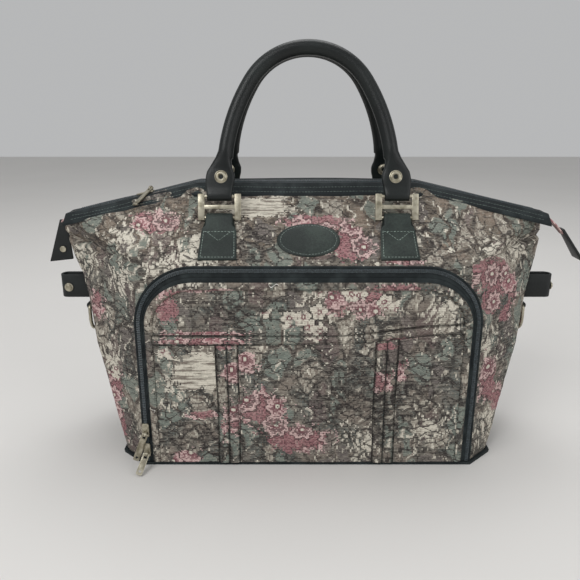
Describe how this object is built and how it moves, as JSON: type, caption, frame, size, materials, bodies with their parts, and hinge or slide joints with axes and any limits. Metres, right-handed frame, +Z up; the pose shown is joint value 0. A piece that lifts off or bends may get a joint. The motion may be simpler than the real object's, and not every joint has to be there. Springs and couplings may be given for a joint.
{
  "type": "carpet bag",
  "caption": "Soft zip-top travel bag of floral tapestry cloth, with two rolled leather handles on metal rings, a zipped front pocket and D-rings at its ends.",
  "frame": {"origin": "middle of the base, on the surface it stands on", "axes": "+X to the right seen from the front, +Y to the back, +Z up"},
  "size_m": [0.6112, 0.2205, 0.4438],
  "materials": {
    "tapestry": "woven floral tapestry",
    "zip_tape": "woven tape",
    "zip_coil": "satin",
    "handle_leather": "smooth, semi-gloss",
    "strap_leather": "grained, matt",
    "nickel": "aged nickel",
    "board": "plain"
  },
  "bodies": {
    "bag": {"front_panel": "tapestry", "back_panel": "tapestry", "left_gusset": "tapestry", "right_gusset": "tapestry", "base_panel": "tapestry", "pocket_panel": "tapestry", "pocket_welt": "tapestry", "slip_pocket": "tapestry", "slip_pocket_hem": "tapestry", "left_pocket_strip": "tapestry", "right_pocket_strip": "tapestry", "left_zip_end": "tapestry", "right_zip_end": "tapestry", "top_zip_front_tape": "zip_tape", "top_zip_back_tape": "zip_tape", "open_mouth_front_tape": "zip_tape", "open_mouth_back_tape": "zip_tape", "pocket_outer_tape": "zip_tape", "pocket_inner_tape": "zip_tape", "base_piping": "zip_tape", "top_zip_front_coil": "zip_coil", "top_zip_back_coil": "zip_coil", "pocket_coil": "zip_coil", "front_left_tab": "strap_leather", "front_right_tab": "strap_leather", "back_left_tab": "strap_leather", "back_right_tab": "strap_leather", "oval_patch": "strap_leather", "left_tail_tab": "strap_leather", "right_tail_tab": "strap_leather", "left_loop": "strap_leather", "right_loop": "strap_leather", "left_chape": "strap_leather", "right_chape": "strap_leather", "left_loop_stud": "nickel", "right_loop_stud": "nickel", "left_tail_snap": "nickel", "right_tail_snap": "nickel", "base_board": "board"},
    "front_rings": {"front_left_ring": "nickel", "front_right_ring": "nickel"},
    "back_rings": {"back_left_ring": "nickel", "back_right_ring": "nickel"},
    "front_handle": {"front_handle": "handle_leather", "front_handle_rivets": "nickel"},
    "back_handle": {"back_handle": "handle_leather", "back_handle_rivets": "nickel"},
    "top_slider": {"top_zip_slider": "nickel"},
    "top_pull": {"top_zip_pull": "nickel"},
    "upper_slider": {"upper_pocket_slider": "nickel"},
    "upper_pull": {"upper_pocket_pull": "nickel"},
    "lower_slider": {"lower_pocket_slider": "nickel"},
    "lower_pull": {"lower_pocket_pull": "nickel"},
    "left_d_ring": {"left_d_ring": "nickel"},
    "right_d_ring": {"right_d_ring": "nickel"}
  },
  "joints": [
    {"name": "front_rings_swing", "type": "hinge", "parent": "bag", "child": "front_rings", "pos_m": [0, -0.05362, 0.26659], "axis": [1, 0, 0], "range_deg": [0, 100]},
    {"name": "front_handle_swing", "type": "hinge", "parent": "front_rings", "child": "front_handle", "pos_m": [0, -0.04837, 0.28796], "axis": [1, 0, 0], "range_deg": [-1.5, 55]},
    {"name": "back_rings_swing", "type": "hinge", "parent": "bag", "child": "back_rings", "pos_m": [0, 0.05362, 0.26659], "axis": [-1, 0, 0], "range_deg": [0, 100]},
    {"name": "back_handle_swing", "type": "hinge", "parent": "back_rings", "child": "back_handle", "pos_m": [0, 0.04837, 0.28796], "axis": [-1, 0, 0], "range_deg": [-1.5, 55]},
    {"name": "top_slider_slide", "type": "slide", "parent": "bag", "child": "top_slider", "axis": [0.9747, 0, 0.2235], "range_m": [-0.058, 0.046]},
    {"name": "top_pull_swing", "type": "hinge", "parent": "top_slider", "child": "top_pull", "pos_m": [-0.17375, -0.003, 0.29075], "axis": [-0.8078, 0.5597, -0.1852], "range_deg": [0, 150]},
    {"name": "upper_slider_slide", "type": "slide", "parent": "bag", "child": "upper_slider", "axis": [0, 0, 1], "range_m": [0, 0.105]},
    {"name": "upper_pull_swing", "type": "hinge", "parent": "upper_slider", "child": "upper_pull", "pos_m": [-0.175, -0.1027, 0.04], "axis": [-0.9326, 0, 0.361], "range_deg": [0, 150]},
    {"name": "lower_slider_slide", "type": "slide", "parent": "bag", "child": "lower_slider", "axis": [0, 0, 1], "range_m": [0, 0.004]},
    {"name": "lower_pull_swing", "type": "hinge", "parent": "lower_slider", "child": "lower_pull", "pos_m": [-0.175, -0.1027, 0.016], "axis": [-0.9308, 0, 0.3657], "range_deg": [0, 95]},
    {"name": "left_d_ring_swing", "type": "hinge", "parent": "bag", "child": "left_d_ring", "pos_m": [-0.25093, 0, 0.15577], "axis": [0, 1, 0], "range_deg": [-8, 85]},
    {"name": "right_d_ring_swing", "type": "hinge", "parent": "bag", "child": "right_d_ring", "pos_m": [0.25093, 0, 0.15577], "axis": [0, -1, 0], "range_deg": [-8, 85]}
  ]
}
